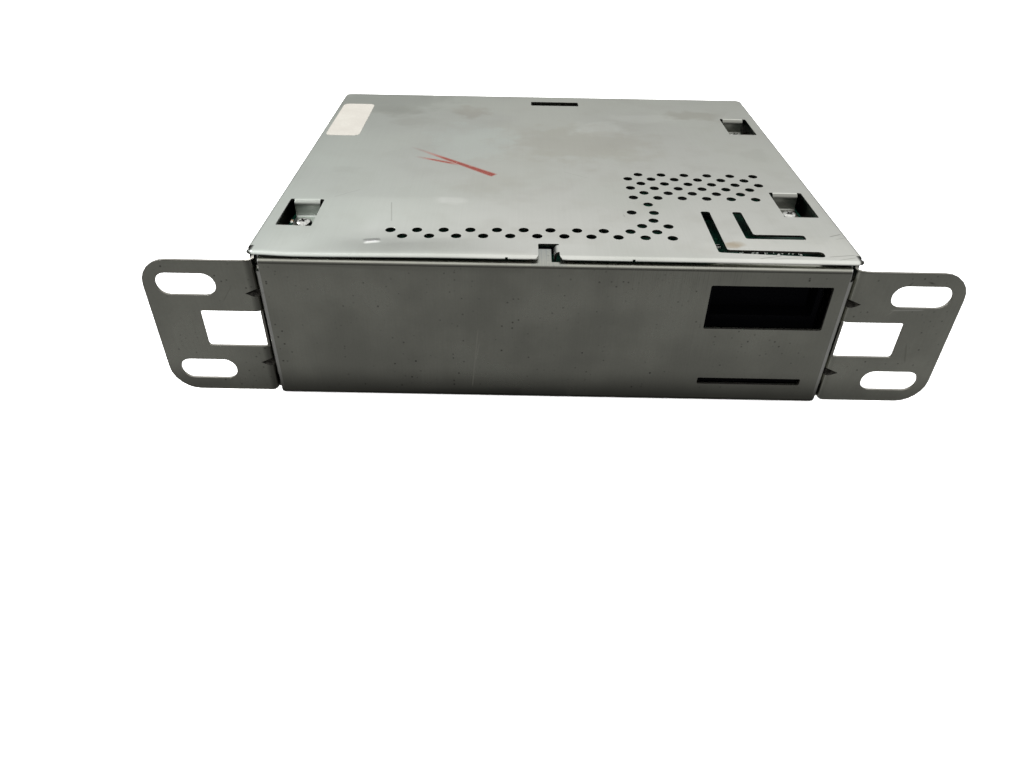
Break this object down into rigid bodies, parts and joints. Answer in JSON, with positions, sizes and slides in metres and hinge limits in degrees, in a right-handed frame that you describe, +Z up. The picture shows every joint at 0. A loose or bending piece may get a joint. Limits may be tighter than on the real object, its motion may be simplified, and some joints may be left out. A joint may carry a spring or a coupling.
{
  "type": "car radio",
  "caption": "Hidden car radio module: a folded steel case with a perforated lid, two slotted mounting ears, and sockets and a finned heat sink behind.",
  "frame": {"origin": "under the middle of the whole radio, on the surface that its base stands on", "axes": "+X to the right of the front plate and its ears, +Y from the front plate to the sockets, +Z up through the lid"},
  "size_m": [0.2452, 0.1706, 0.0517],
  "materials": {
    "zinc_steel": "galvanised sheet, satin",
    "lid_steel": "galvanised sheet, satin, bright",
    "screw_steel": "zinc plated",
    "spring_steel": "satin",
    "sink_aluminium": "extruded, plain",
    "tinned_steel": "tinned",
    "brass": "plain",
    "board": "solder resist on glass laminate",
    "black_moulding": "moulded, fine grain",
    "dark_moulding": "moulded, smooth",
    "pale_insulator": "moulded",
    "chip": "moulded epoxy",
    "ferrite": "sintered",
    "fuse_red": "moulded, clear"
  },
  "bodies": {
    "root": {"base_tray": "zinc_steel", "side_wall_left": "zinc_steel", "side_wall_right": "zinc_steel", "rear_panel": "zinc_steel", "lid": "lid_steel", "main_board": "board", "interface_board": "board", "board_link_header": "black_moulding", "window_plug": "black_moulding", "ribbon_connector": "black_moulding", "main_connector": "black_moulding", "blade_fuse": "fuse_red", "antenna_socket": "dark_moulding", "antenna_insulator": "pale_insulator", "antenna_contact": "brass", "data_socket": "tinned_steel", "data_insert": "pale_insulator", "heat_sink": "sink_aluminium", "power_amplifier": "chip", "amplifier_clamp": "spring_steel", "tuner_can": "tinned_steel", "processor": "chip", "memory_chip_1": "chip", "memory_chip_2": "chip", "audio_processor": "chip", "wireless_module": "tinned_steel", "capacitor_1": "dark_moulding", "capacitor_2": "dark_moulding", "capacitor_3": "dark_moulding", "supply_choke": "ferrite", "board_screw_1": "screw_steel", "board_screw_2": "screw_steel", "board_screw_3": "screw_steel", "front_side_screw_left": "screw_steel", "front_side_screw_right": "screw_steel", "rear_side_screw_left": "screw_steel", "rear_side_screw_right": "screw_steel", "rear_screw_left": "screw_steel", "rear_screw_right": "screw_steel", "clamp_screw_left": "screw_steel", "clamp_screw_right": "screw_steel", "sink_screw_1": "screw_steel", "sink_screw_2": "screw_steel"}
  },
  "joints": []
}
